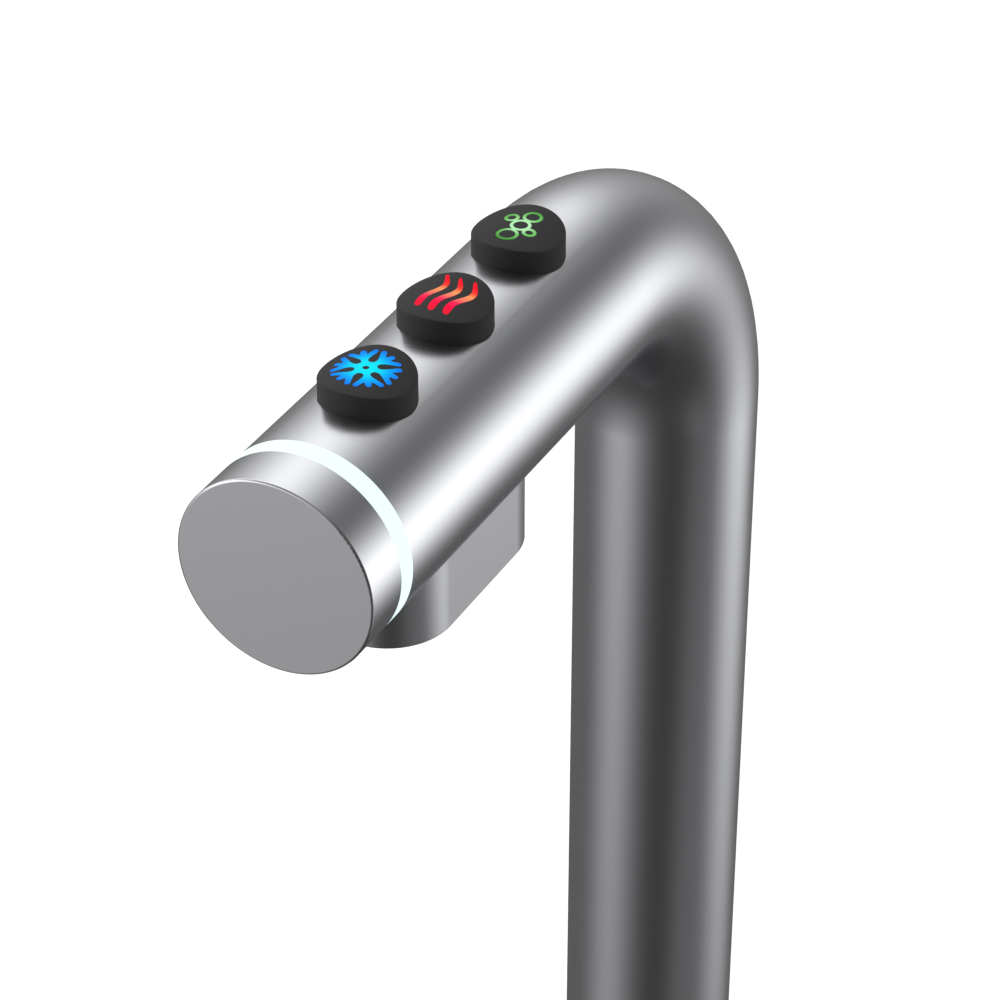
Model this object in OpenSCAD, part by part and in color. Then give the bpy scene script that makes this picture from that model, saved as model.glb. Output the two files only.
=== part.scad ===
// Deck-mounted tap for boiling, chilled and sparkling water. A bent tube makes the column and the arm.
// Three push buttons stand on top of the arm, a glowing ring sits before its end cap, and one
// nozzle under the arm holds three separate outlets.
// Origin: centre of the worktop hole, on the worktop's top face. +Z is up and the arm points to -Y.
// Places along the arm are distances from the column's axis. Heights in the arm are over its axis.

/* [Spout tube] */
// Outside diameter of the tube
tube_d = 50; // [48:0.5:54]
// Wall of the tube
tube_wall = 1.5; // [1.2:0.1:1.8]
// Centreline radius of the bend
bend_r = 66.7; // [60:0.1:69]
// Height of the arm's axis over the worktop
axis_h = 340; // [280:1:420]
// Distance from the column's axis to the arm's front face
reach = 204.75; // [202:0.25:230]

/* [Push buttons] */
// Diameter of a button, where the arm has room for it
button_d = 22.4; // [21:0.1:23]
// Most of the room between the carrier's walls that one button takes
button_share = 0.221; // [0.2:0.001:0.23]
// Height of a button's crown over the tube
button_rise = 5.56; // [5:0.01:7]
// Distance from button to button, where the arm has room for it
button_pitch = 36.7; // [34:0.1:37.5]
// Distance from the front face to the first button's centre
first_button = 42.9; // [42:0.1:45]
// How far a button goes down
button_travel = 1; // [0.6:0.1:1.2]
// Gap between a button and its hole
button_gap = 0.25; // [0.2:0.05:0.4]
// Thickness of the skin over a button's light guide
button_skin = 1.8; // [1.5:0.1:2.2]
// Thickness of the light guide
guide_t = 2; // [1.5:0.1:2.5]

/* [Front end of the arm] */
// Width of the glowing ring
ring_w = 5.2; // [4:0.1:7]
// Length of the end cap
end_cap_len = 12.75; // [12:0.25:16]
// Wall of the end cap
end_cap_wall = 1.5; // [1.2:0.1:1.8]
// Rounding of the end cap's front edge
end_cap_edge = 0.6; // [0.4:0.1:1]
// Radial thickness of the ring's spigot
ring_wall = 4.4; // [4:0.1:5]

/* [Nozzle] */
// Width of the nozzle
nozzle_w = 32.9; // [32.5:0.1:36]
// Length of the nozzle along the arm
nozzle_len = 66.9; // [66:0.1:72]
// How far the nozzle stands below the tube
nozzle_drop = 14.74; // [14:0.01:18]
// Distance from the front face to the nozzle's centre
nozzle_back = 67.35; // [65:0.05:69]
// Wall of the nozzle's shell
nozzle_wall = 2; // [1.6:0.1:2.2]

/* [Water pipes] */
// Outside diameter of a pipe
pipe_d = 6; // [5.5:0.1:6.2]
// Wall of a pipe
pipe_wall = 1; // [0.6:0.1:1.2]
// Thickness of the boiling pipe's insulating sleeve
sleeve_t = 1.45; // [1:0.05:1.6]
// How far the pipes run below the arm's axis, and in front of the column's
pipe_drop = 6; // [5.5:0.1:6.5]
// Radius of the turn that takes a pipe down into the nozzle
drop_bend_r = 10; // [9.5:0.1:10.5]
// Length of the two cold tails below the shank
cold_tail = 30; // [28:1:80]
// Length of the hot tail below the shank
hot_tail = 60; // [28:1:120]

/* [Deck fitting] */
// Thickness of the worktop that the back nut is set for
worktop_t = 40; // [12:1:44]
// Outside diameter of the base
base_d = 62; // [60:0.5:70]
// Height of the escutcheon over the gasket
escutcheon_h = 8; // [7:0.5:12]
// Thickness of the deck gasket
gasket_t = 2; // [1:0.5:3]
// Wall between the tube and the shank
base_wall = 3.4; // [3.2:0.1:4]
// Wall of the shank
shank_wall = 3; // [2.5:0.1:3.5]
// Length of the shank below the worktop's face
shank_len = 70; // [66:1:90]
// Pitch of the shank's thread
thread_pitch = 2; // [1.5:0.5:3]
// Width of the back nut across its flats
nut_af = 55; // [52:1:60]
// Height of the back nut
nut_h = 10; // [8:1:12]

/* [Hidden] */

$fn = 72;
steel = "#b4b8ba";
bright_steel = "#c9ccce";
black_plastic = "#2b2b2d";
dark_plastic = "#3a3b3e";
rubber_black = "#1f1f21";
glow_white = "#eafffb";
board_green = "#1f5a3c";
clear_plastic = "#dfe9ee";
brass = "#c8a860";

// Clearances and the one overrun that all cuts share
cut = 1;
slip = 0.1;
fit_gap = 0.05;
seal_gap = 0.05;
thread_gap = 0.05;

// Tube
tube_r = tube_d / 2;
tube_ri = tube_r - tube_wall;
bend_z = axis_h - bend_r;

// Stations along the arm
cap_s = reach - end_cap_len;
ring_s = cap_s - ring_w;

// Carrier in the arm's straight part: its rear wall stands off the bend, its front wall off the ring's board
carrier_gap = 0.3;
carrier_r = tube_ri - carrier_gap;
carrier_clear = 3.25;
carrier_back_s = bend_r + carrier_clear;
rear_wall_t = 5;
rear_wall_s = carrier_back_s + rear_wall_t;
ring_spigot_len = 4;
ring_spigot_s = ring_s - ring_spigot_len;
lamp_h = 1;
ring_board_t = 1.4;
ring_board_s = ring_spigot_s - lamp_h - ring_board_t;
front_wall_t = 4;
front_wall_s = ring_board_s;
front_wall_back_s = front_wall_s - front_wall_t;

// Buttons share the room between those walls
button_room = front_wall_back_s - rear_wall_s;
button_r = min(button_d, button_share * button_room) / 2;
button_lip = 1.8;
button_flange_r = button_r + button_lip;
pocket_gap = 0.4;
carrier_pocket_r = button_flange_r + pocket_gap;
first_button_s = reach - first_button;
rear_room = first_button_s - rear_wall_s - carrier_pocket_r - slip;
pitch = min(button_pitch, rear_room / 2);
second_button_s = first_button_s - pitch;
third_button_s = second_button_s - pitch;

// Nozzle: as far forward as asked for, with its rear nut clear of the rear wall
manifold_screw_pitch = 56;
nut_r = 3;
nut_clear = 1;
nozzle_s = max(reach - nozzle_back, rear_wall_s + manifold_screw_pitch / 2 + nut_r + nut_clear);

// Deck fitting, from the worktop up
flange_t = 4;
flange_over = 2.4;
tube_foot = gasket_t + flange_t;
spigot_len = 30;
spigot_r = tube_ri - slip;
spigot_top = tube_foot + spigot_len;
shank_grip = 16;
shank_clear = 0.5;
shank_r = spigot_r - base_wall;
shank_ri = shank_r - shank_wall;
shank_top = tube_foot + shank_grip;
base_r = base_d / 2;
flange_r = tube_r + flange_over;
escutcheon_top = gasket_t + escutcheon_h;
escutcheon_round = 3;
gasket_inset = 1;

// Deck fitting, under the worktop
rubber_washer_t = 3;
steel_washer_t = 2;
steel_washer_z = -worktop_t - rubber_washer_t - steel_washer_t;
thread_depth_share = 0.61;
thread_angle = 60;
thread_depth = thread_depth_share * thread_pitch;
nut_corner_round = 1;
nut_face_inset = 0.5;
nut_chamfer_angle = 30;

// O-rings in the base, and the grub screw below them
base_o_ring_r = 0.7;
o_ring_side = 0.15;
lower_o_ring_rise = 20;
upper_o_ring_rise = 25;
lower_o_ring_z = tube_foot + lower_o_ring_rise;
upper_o_ring_z = tube_foot + upper_o_ring_rise;
tube_grub_d = 5;
tube_grub_len = 4;
tube_grub_rise = 5;
tube_grub_z = escutcheon_top + tube_grub_rise;
grub_key = 2.5;
grub_key_depth = 2;

// Buttons, from the crown down to the board
button_hole_r = button_r + button_gap;
button_wall = 1.9;
button_top_r = tube_r + button_rise;
pocket_r = button_r - button_wall;
pocket_top = sqrt(pow(button_top_r, 2) - pow(pocket_r, 2)) - button_skin;
guide_top = pocket_top - slip;
neck_top = guide_top - guide_t;
neck_r = pocket_r - slip;
button_flange_t = 1.4;
flange_drop = 4.3;
flange_top = tube_ri - flange_drop;
flange_bottom = flange_top - button_flange_t;
stop_gap = 0.3;
carrier_pocket_floor = flange_bottom - button_travel - stop_gap;
spring_well_depth = 4.5;
spring_well_d = 12.4;
neck_wall = 0.9;
spring_well_r = min(spring_well_d / 2, neck_r - neck_wall);
spring_seat = carrier_pocket_floor - spring_well_depth;
spring_recess = 2.2;
spring_head = flange_bottom + spring_recess;
spring_side = 1.6;
spring_r = spring_well_r - spring_side;
spring_wire = 0.8;
spring_turns = 5;
coil_rings = 12;
coil_sides = 6;
carrier_floor = 2.5;
carrier_bottom = spring_seat - carrier_floor;
stem_r = 2.2;
stem_bore_r = stem_r + slip;
stem_bottom = carrier_bottom + button_travel;
tip_r = 1.7;
tip_len = 3.2;
tip_bottom = stem_bottom - tip_len;
switch_gap = 0.7;
switch_w = 6;
switch_h = 3.3;
switch_top = carrier_bottom - switch_gap;
switch_bore_r = tip_r + slip;
switch_bore_floor = tip_bottom - button_travel - slip;
board_top = switch_top - switch_h;
board_t = 1.6;
board_bottom = board_top - board_t;

// Bosses and screws under the carrier
boss_r = 2.6;
boss_u = 11.5;
boss_margin = 8;
board_screw_d = 2.2;
board_screw_len = 4.6;
board_screw_head_d = 4;
board_screw_head_h = 1.4;

// Front end of the arm
ring_spigot_r = tube_ri - slip;
ring_ri = ring_spigot_r - ring_wall;
lamp_w = 3;
lamp_radial = 2;
lamp_count = 8;
ring_board_step = 0.4;
hub_gap = 0.2;
hub_r = ring_ri - hub_gap;
end_cap_ri = tube_r - end_cap_wall;
plug_flange_r = end_cap_ri - slip;
plug_flange_len = 8;
plug_front_s = cap_s + plug_flange_len;
end_o_ring_r = 0.7;
end_o_ring_from_back = 2.2;
end_o_ring_s = cap_s + end_o_ring_from_back;
cap_grub_d = 4;
cap_grub_len = 3.2;
cap_grub_from_front = 2;
cap_grub_s = plug_front_s - cap_grub_from_front;
cap_grub_key = 2;

// Control board
board_w = 30;
board_margin = 2.5;
board_back_s = rear_wall_s + board_margin;
board_front_s = front_wall_back_s - board_margin;
connector_w = 12;
connector_len = 6;
connector_h = 3.8;
connector_inset = 0.5;

// Screws with cylindrical heads
m3 = 3;
m3_head_d = 5.5;
m3_head_h = 2.8;
m3_key = 2.5;
m3_key_depth = 1.3;
screw_gap = 0.05;
head_gap = 0.25;
plug_screw_pitch = 20;
plug_screw_sink = 3;
plug_screw_len = 20;

// Pipes
pipe_r = pipe_d / 2;
pipe_bore = pipe_r - pipe_wall;
sleeve_ri = pipe_r + fit_gap;
sleeve_r = sleeve_ri + sleeve_t;
pipe_space = 0.8;
pipe_u = sleeve_r + pipe_r + pipe_space;
pipe_v = -pipe_drop;
tail_grip = 25;
bead_h = 1.5;
bead_over = 0.8;
cold_foot = -shank_len - cold_tail;
hot_foot = -shank_len - hot_tail;

// Loom: it meets the connector under the board
connector_v = board_bottom - connector_h / 2;
loom_r = 1.8;
loom_jacket = 0.6;
loom_end_s = board_back_s + connector_inset;
socket_w = 12;
socket_depth = 7;
socket_len = 14;
grommet_t = 8;
grommet_rise = 8;
grommet_z = grommet_rise - shank_len;
spacer_t = 6;
spacer_gap = 0.2;
lower_spacer_rise = 94;
lower_spacer_z = tube_foot + lower_spacer_rise;
upper_spacer_drop = 40;
upper_spacer_z = bend_z - upper_spacer_drop;

// Nozzle and manifold
nozzle_r = nozzle_w / 2;
nozzle_run = nozzle_len - nozzle_w;
nozzle_bottom = -tube_r - nozzle_drop;
nozzle_top = -tube_r / 2;
shell_ri = nozzle_r - nozzle_wall;
shell_floor_t = 2;
shell_floor = nozzle_bottom + shell_floor_t;
manifold_gap = 0.15;
block_r = shell_ri - manifold_gap;
block_gap = 0.6;
block_top = -tube_r - block_gap;
block_bottom = shell_floor;
neck_step = 0.3;
neck_r_across = block_r - neck_step;
neck_run = 21;
neck_gap = 1;
neck_top_v = pipe_v - drop_bend_r - neck_gap;
slot_gap = 0.25;
saddle_gap = 0.05;

// Sockets and passages in the manifold
cold_socket_s = nozzle_s + neck_run / 2;
hot_socket_s = nozzle_s - neck_run / 2;
socket_bore_r = pipe_r + slip;
socket_depth_in = 9;
socket_floor = neck_top_v - socket_depth_in;
pipe_end_gap = 0.5;
pipe_end = socket_floor + pipe_end_gap;
seal_r = 0.75;
seal_well_r = pipe_r + 2 * (seal_r + seal_gap);
seal_well_depth = 2;
passage_r = 2;
straightener_r = 4.6;
straightener_len = 6.2;
straightener_inset = 0.4;
straightener_bore_r = straightener_r + slip;
straightener_bottom = nozzle_bottom + straightener_inset;
straightener_top = straightener_bottom + straightener_len;
jet_r = 0.75;
jet_pitch_r = 2.7;
jet_count = 6;
outlet_hole_r = straightener_bore_r + slip;

// Screws in the nozzle
manifold_screw_len = 15;
manifold_screw_sink = 3;
nozzle_screw_pitch = 38;
nozzle_screw_len = 8;
sunk_head_r = 2.9;
sunk_head_h = 1.5;
sunk_gap = 0.1;
sunk_key = 2;
nut_t = 2.6;
carrier_screw_len = 6;

// Outlets: offset to the side and station along the arm
chilled_u = -pipe_u;
sparkling_u = pipe_u;

// The spring is drawn as one wire along a helix. least_gap is the room between its turns.
function helix_point(r, low, high, i, n) =
    let (turn = 360 * spring_turns * i / n)
    [r * cos(turn), r * sin(turn), low + (high - low) * i / n];
function wire_ring(low, high, i, n) =
    let (turn = 360 * spring_turns * i / n, mid = helix_point(spring_r, low, high, i, n))
    [for (k = [0 : coil_sides - 1])
        let (a = 360 * k / coil_sides, out = spring_wire / 2 * cos(a))
        [mid.x + out * cos(turn), mid.y + out * sin(turn), mid.z + spring_wire / 2 * sin(a)]];
coil_steps = spring_turns * coil_rings;
coil_low = spring_seat + spring_wire / 2 + fit_gap;
coil_high = spring_head - spring_wire / 2 - fit_gap;
least_gap = min([for (i = [0 : coil_steps - coil_rings])
    norm(helix_point(spring_r, coil_low, coil_high, i + coil_rings, coil_steps)
        - helix_point(spring_r, coil_low, coil_high, i, coil_steps)) - spring_wire]);
echo(least_gap = least_gap);

// Moves its children to a station along the arm, with heights counted from the arm's axis
module at_arm(s, u = 0) {
    translate([u, -s, axis_h]) children();
}

// Turns its children so that their Z runs forward along the arm's axis, from a station on it
module along_arm(s) {
    translate([0, -s, axis_h]) rotate([90, 0, 0]) children();
}

// Ring between two radii
module ring2d(outer, inner) {
    difference() {
        circle(r = outer);
        circle(r = inner);
    }
}

// Turned ring from height low to height high
module turned_ring(outer, inner, low, high) {
    translate([0, 0, low]) linear_extrude(high - low) ring2d(outer, inner);
}

// Plain peg from height low to height high
module peg(r, low, high) {
    translate([0, 0, low]) cylinder(r = r, h = high - low);
}

// Seal ring: a round section turned about Z
module o_ring(mid_r, wire_r) {
    rotate_extrude() translate([mid_r, 0]) circle(r = wire_r, $fn = 36);
}

// Slot outline: two half circles joined by straight sides, long along Y
module stadium(r, run) {
    union() {
        for (side = [-1, 1]) translate([0, side * run / 2]) circle(r = r);
        square([2 * r, run], center = true);
    }
}

// Upright slot-shaped block from height low to height high
module stadium_block(r, run, low, high) {
    translate([0, 0, low]) linear_extrude(high - low) stadium(r, run);
}

// Leads its children, a section alike on both sides, down the column from the bend, round the bend and
// forward along the arm. u is the section's place across, v its place above the arm's axis and behind
// the column's. Both legs start on the bend's own end planes, so that no size can part them.
module tap_route(u, v, foot, arm_run) {
    translate([u, v, bend_z]) rotate([180, 0, 0]) linear_extrude(bend_z - foot) children();
    translate([0, -bend_r, bend_z]) rotate([90, 0, 90])
        rotate_extrude(angle = 90) translate([bend_r + v, u]) children();
    translate([u, -bend_r, axis_h + v]) rotate([90, 0, 0]) linear_extrude(arm_run) children();
}

// The turn that takes a pipe from the end of its run in the arm down into its socket
module pipe_end_turn(u, arm_run, outer, inner) {
    turn_s = bend_r + arm_run;
    turn_v = pipe_v - drop_bend_r;
    translate([u, -turn_s, axis_h + turn_v]) rotate([90, 0, 90]) rotate([0, 0, 90])
        rotate_extrude(angle = 90) translate([drop_bend_r, 0]) ring2d(outer, inner);
    translate([u, -turn_s - drop_bend_r, axis_h + turn_v]) rotate([180, 0, 0])
        linear_extrude(turn_v - pipe_end) ring2d(outer, inner);
}

// One water pipe from its tail under the worktop, where a bead stops the hose, to its socket in the manifold
module water_pipe(u, s, foot) {
    color(bright_steel) union() {
        tap_route(u, pipe_v, foot, s - drop_bend_r - bend_r) ring2d(pipe_r, pipe_bore);
        pipe_end_turn(u, s - drop_bend_r - bend_r, pipe_r, pipe_bore);
        translate([u, pipe_v, foot + tail_grip]) linear_extrude(bead_h)
            ring2d(pipe_r + bead_over, pipe_r - pipe_wall / 2);
    }
}

// Screw with a cylindrical head and a hexagon key: the head's underside at the origin, the shank along +Z
module head_screw(len) {
    difference() {
        union() {
            cylinder(d = m3, h = len);
            peg(m3_head_d / 2, -m3_head_h, 0);
        }
        translate([0, 0, -m3_head_h - cut]) cylinder(d = m3_key, h = m3_key_depth + cut, $fn = 6);
    }
}

// Screw with a countersunk head, its head's face at the origin and its shank along +Z
module sunk_screw(len) {
    difference() {
        union() {
            cylinder(d = m3, h = len);
            cylinder(r1 = sunk_head_r, r2 = m3 / 2, h = sunk_head_h);
        }
        translate([0, 0, -cut]) cylinder(d = sunk_key, h = m3_key_depth + cut, $fn = 6);
    }
}

// Hole for that screw, cut from the face at the origin along +Z
module sunk_hole(len) {
    translate([0, 0, -cut]) cylinder(r = m3 / 2 + sunk_gap, h = len + cut);
    cylinder(r1 = sunk_head_r + sunk_gap, r2 = m3 / 2 + sunk_gap, h = sunk_head_h);
}

// Grub screw with a hexagon key at the origin, along +Z
module grub_screw(d, len, key) {
    difference() {
        cylinder(d = d, h = len);
        translate([0, 0, -cut]) cylinder(d = key, h = grub_key_depth + cut, $fn = 6);
    }
}

// Both stations, one each side of the nozzle's centre
module nozzle_pair(pitch) {
    for (side = [-1, 1]) at_arm(nozzle_s + side * pitch / 2) children();
}

// Spout tube: column, bend and arm, with its button holes, nozzle slot and screw holes
module spout_tube() {
    color(steel) difference() {
        tap_route(0, 0, tube_foot, ring_s - bend_r) ring2d(tube_r, tube_ri);
        for (s = [first_button_s, second_button_s, third_button_s])
            at_arm(s) cylinder(r = button_hole_r, h = tube_r + cut);
        at_arm(nozzle_s) stadium_block(neck_r_across + slot_gap, neck_run, -tube_r - cut, 0);
        nozzle_pair(manifold_screw_pitch) peg(m3 / 2 + screw_gap, -tube_r - cut, 0);
        for (s = carrier_screw_places()) at_arm(s) translate([0, 0, -tube_r]) sunk_hole(tube_r);
        translate([0, 0, tube_grub_z]) rotate([-90, 0, 0])
            cylinder(d = tube_grub_d + 2 * thread_gap, h = tube_r + cut);
    }
}

// Stations of the two screws that hold the carrier's walls
function carrier_screw_places() = [carrier_back_s + rear_wall_t / 2, front_wall_back_s + front_wall_t / 2];

// Holes through the rear wall, a spacer or a grommet for the three pipes and the loom.
// The outline lies in the section's own plane, u across and v up.
module service_holes(loom_v) {
    for (u = [chilled_u, sparkling_u]) translate([u, pipe_v]) circle(r = pipe_r + slip);
    translate([0, pipe_v]) circle(r = sleeve_r + slip);
    translate([0, loom_v]) circle(r = loom_r + slip);
}

// Bosses that the board is screwed to: four places as offset across and station
function boss_places() = [for (side = [-1, 1], s = [board_back_s + boss_margin, board_front_s - boss_margin])
    [side * boss_u, s]];

// Button carrier: a D-shaped bar between two round walls, with a stepped bore under each button
module button_carrier() {
    color(dark_plastic) difference() {
        union() {
            intersection() {
                along_arm(carrier_back_s) cylinder(r = carrier_r, h = front_wall_s - carrier_back_s);
                translate([-tube_r, -front_wall_s, axis_h + carrier_bottom])
                    cube([tube_d, front_wall_s - carrier_back_s, tube_r]);
            }
            along_arm(carrier_back_s) linear_extrude(rear_wall_t) difference() {
                circle(r = carrier_r);
                service_holes(connector_v);
            }
            along_arm(front_wall_back_s) cylinder(r = carrier_r, h = front_wall_t);
            for (p = boss_places()) at_arm(p[1], p[0]) peg(boss_r, board_top, carrier_bottom + fit_gap);
        }
        for (s = [first_button_s, second_button_s, third_button_s]) at_arm(s) {
            peg(carrier_pocket_r, carrier_pocket_floor, tube_r);
            peg(spring_well_r, spring_seat, tube_r);
            peg(stem_bore_r, carrier_bottom - cut, tube_r);
        }
        for (p = boss_places()) at_arm(p[1], p[0])
            peg(board_screw_d / 2 + screw_gap, board_top - cut, board_top + board_screw_len);
        for (s = carrier_screw_places()) at_arm(s) translate([0, 0, -carrier_r - cut])
            cylinder(r = m3 / 2 + screw_gap, h = carrier_screw_len + cut);
        along_arm(0) for (side = [-1, 1]) translate([side * plug_screw_pitch / 2, 0, 0])
            peg(m3 / 2 + screw_gap, front_wall_back_s - cut, front_wall_s + cut);
    }
}

// Two countersunk screws from below, through the tube into the carrier's walls
module carrier_screws() {
    color(bright_steel) for (s = carrier_screw_places())
        at_arm(s) translate([0, 0, -tube_r + fit_gap]) sunk_screw(carrier_screw_len);
}

// Control board under the carrier, with its screw holes
module control_board() {
    color(board_green) difference() {
        translate([-board_w / 2, -board_front_s, axis_h + board_bottom])
            cube([board_w, board_front_s - board_back_s, board_t]);
        for (p = boss_places()) at_arm(p[1], p[0])
            peg(board_screw_d / 2 + screw_gap, board_bottom - cut, board_top + cut);
    }
}

// Connector under the board's rear edge, open towards the loom
module board_connector() {
    color(clear_plastic) at_arm(loom_end_s + connector_len)
        translate([-connector_w / 2, 0, board_bottom - connector_h])
        cube([connector_w, connector_len, connector_h]);
}

// Four pan-head screws from below the board into the bosses
module board_screws() {
    color(bright_steel) for (p = boss_places()) at_arm(p[1], p[0]) {
        peg(board_screw_d / 2, board_bottom, board_bottom + board_screw_len);
        peg(board_screw_head_d / 2, board_bottom - board_screw_head_h, board_bottom);
    }
}

// Push switch on the board, with a bore for the plunger's tip
module button_switch(s) {
    color(black_plastic) at_arm(s) difference() {
        translate([-switch_w / 2, -switch_w / 2, board_top]) cube([switch_w, switch_w, switch_h]);
        peg(switch_bore_r, switch_bore_floor, switch_top + cut);
    }
}

// Button cap: a round post whose top follows the tube, hollow for the light guide
module button_cap(s) {
    color(black_plastic) difference() {
        intersection() {
            at_arm(s) peg(button_r, flange_top, button_top_r);
            along_arm(s - button_r - cut) cylinder(r = button_top_r, h = 2 * (button_r + cut));
        }
        at_arm(s) peg(pocket_r, flange_top - cut, pocket_top);
    }
}

// Light guide: clear disc under the cap's top
module light_guide(s) {
    color(glow_white) at_arm(s) peg(pocket_r - slip, neck_top, guide_top);
}

// Plunger: neck in the cap, flange under the tube, stem with the tip that works the switch
module button_plunger(s) {
    color(clear_plastic) at_arm(s) union() {
        difference() {
            union() {
                peg(neck_r, flange_bottom, neck_top);
                peg(button_flange_r, flange_bottom, flange_top);
            }
            peg(spring_well_r, flange_bottom - cut, spring_head);
        }
        peg(stem_r, stem_bottom, neck_top - slip);
        peg(tip_r, tip_bottom, neck_top - slip);
    }
}

// Return spring: one wire wound round the stem
module button_spring(s) {
    rings = [for (i = [0 : coil_steps]) wire_ring(coil_low, coil_high, i, coil_steps)];
    points = [for (ring = rings) each ring];
    last = coil_steps * coil_sides;
    walls = [for (i = [0 : coil_steps - 1], k = [0 : coil_sides - 1])
        let (a = i * coil_sides + k, b = i * coil_sides + (k + 1) % coil_sides)
        each [[a, b, b + coil_sides], [a, b + coil_sides, a + coil_sides]]];
    ends = [[for (k = [0 : coil_sides - 1]) coil_sides - 1 - k], [for (k = [0 : coil_sides - 1]) last + k]];
    color(bright_steel) at_arm(s) polyhedron(points = points, faces = concat(walls, ends), convexity = 10);
}

// Light ring: a band flush with the tube, and a spigot that goes into it
module light_ring() {
    color(glow_white) along_arm(0) rotate_extrude() union() {
        translate([ring_ri, ring_s]) square([tube_r - ring_ri, ring_w]);
        translate([ring_ri, ring_spigot_s]) square([ring_wall, ring_spigot_len]);
    }
}

// Annular board behind the ring's spigot
module ring_board() {
    color(board_green) along_arm(ring_board_s)
        turned_ring(ring_spigot_r - ring_board_step, hub_r + slip, 0, ring_board_t);
}

// Lamps on that board, which shine into the spigot
module ring_lamps() {
    lamp_r = (ring_spigot_r + ring_ri) / 2;
    color("white") along_arm(ring_board_s + ring_board_t) for (i = [0 : lamp_count - 1])
        rotate([0, 0, 360 * i / lamp_count]) translate([lamp_r - lamp_radial / 2, -lamp_w / 2, 0])
            cube([lamp_radial, lamp_w, lamp_h]);
}

// End plug: a hub through the ring and a flange that clamps it and carries the end cap
module end_plug() {
    groove_r = plug_flange_r - 2 * end_o_ring_r;
    groove_w = 2 * (end_o_ring_r + o_ring_side);
    color(steel) difference() {
        along_arm(0) union() {
            peg(hub_r, front_wall_s, plug_front_s);
            peg(plug_flange_r, cap_s, plug_front_s);
        }
        along_arm(end_o_ring_s) translate([0, 0, -groove_w / 2])
            linear_extrude(groove_w) ring2d(plug_flange_r + cut, groove_r);
        along_arm(0) for (side = [-1, 1]) translate([side * plug_screw_pitch / 2, 0, 0]) {
            peg(m3 / 2 + screw_gap, front_wall_s - cut, plug_front_s + cut);
            peg(m3_head_d / 2 + head_gap, plug_front_s - plug_screw_sink, plug_front_s + cut);
        }
        at_arm(cap_grub_s) peg(cap_grub_d / 2 + thread_gap, -tube_r, -tube_r + cap_grub_len + slip);
    }
}

// Two long screws through the plug into the carrier
module plug_screws() {
    color(bright_steel) along_arm(plug_front_s - plug_screw_sink) for (side = [-1, 1])
        translate([side * plug_screw_pitch / 2, 0, 0]) rotate([180, 0, 0]) head_screw(plug_screw_len);
}

// End cap: a shallow cup flush with the tube, its front edge rounded
module end_cap() {
    inner_len = end_cap_len - end_cap_wall;
    color(steel) difference() {
        along_arm(cap_s) rotate_extrude() difference() {
            union() {
                square([tube_r - end_cap_edge, end_cap_len]);
                square([tube_r, end_cap_len - end_cap_edge]);
                translate([tube_r - end_cap_edge, end_cap_len - end_cap_edge]) circle(r = end_cap_edge);
            }
            translate([0, -cut]) square([end_cap_ri, inner_len + cut]);
        }
        at_arm(cap_grub_s) peg(cap_grub_d / 2 + thread_gap, -tube_r - cut, 0);
    }
}

// Seal between the plug and the end cap
module end_cap_o_ring() {
    color(rubber_black) along_arm(end_o_ring_s)
        o_ring(plug_flange_r - end_o_ring_r + seal_gap, end_o_ring_r);
}

// Grub screw under the end cap, flush with it
module end_cap_grub_screw() {
    color(bright_steel) at_arm(cap_grub_s) translate([0, 0, -tube_r + 2 * fit_gap])
        grub_screw(cap_grub_d, cap_grub_len - 2 * fit_gap, cap_grub_key);
}

// Insulating sleeve round the boiling pipe
module boiling_pipe_sleeve() {
    color(clear_plastic) tap_route(0, pipe_v, grommet_z, hot_socket_s - drop_bend_r - bend_r)
        ring2d(sleeve_r, sleeve_ri);
}

// Wiring loom's jacket, from its socket in the shank to the board's connector
module wiring_loom() {
    color(rubber_black) tap_route(0, connector_v, grommet_z, loom_end_s - bend_r)
        ring2d(loom_r, loom_r - loom_jacket);
}

// Socket that the loom ends in, under the shank's grommet
module loom_socket() {
    color(clear_plastic) translate([-socket_w / 2, connector_v - socket_depth / 2, grommet_z - socket_len])
        cube([socket_w, socket_depth, socket_len]);
}

// Round plate with the service holes, across the column at height z
module column_plate(z, r, t) {
    translate([0, 0, z]) linear_extrude(t) difference() {
        circle(r = r);
        service_holes(connector_v);
    }
}

// Seal at the top of a socket, round its pipe
module pipe_seal(u, s) {
    color(rubber_black) at_arm(s, u) translate([0, 0, neck_top_v - seal_well_depth / 2])
        o_ring(pipe_r + seal_r + seal_gap, seal_r);
}

// Outlet places: offset across and station
function outlet_places() = [[0, hot_socket_s], [chilled_u, cold_socket_s], [sparkling_u, cold_socket_s]];

// Manifold: a block in the nozzle and a neck through the tube's slot, with three separate ways through
module outlet_manifold() {
    color(dark_plastic) difference() {
        union() {
            at_arm(nozzle_s) stadium_block(block_r, nozzle_run, block_bottom, block_top);
            at_arm(nozzle_s) stadium_block(neck_r_across, neck_run, block_bottom, neck_top_v);
        }
        for (p = outlet_places()) at_arm(p[1], p[0]) {
            peg(seal_well_r, neck_top_v - seal_well_depth, neck_top_v + cut);
            peg(socket_bore_r, socket_floor, neck_top_v + cut);
            peg(passage_r, block_bottom - cut, neck_top_v);
            peg(straightener_bore_r, block_bottom - cut, straightener_top + slip);
        }
        nozzle_pair(manifold_screw_pitch) {
            peg(m3 / 2 + screw_gap, block_bottom - cut, block_top + cut);
            peg(m3_head_d / 2 + head_gap, block_bottom - cut, block_bottom + manifold_screw_sink);
        }
        nozzle_pair(nozzle_screw_pitch)
            peg(m3 / 2 + screw_gap, block_bottom - cut, nozzle_bottom + nozzle_screw_len + slip);
    }
}

// Two screws that pull the manifold up to the tube
module manifold_screws() {
    color(bright_steel) nozzle_pair(manifold_screw_pitch)
        translate([0, 0, block_bottom + manifold_screw_sink]) head_screw(manifold_screw_len);
}

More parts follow.
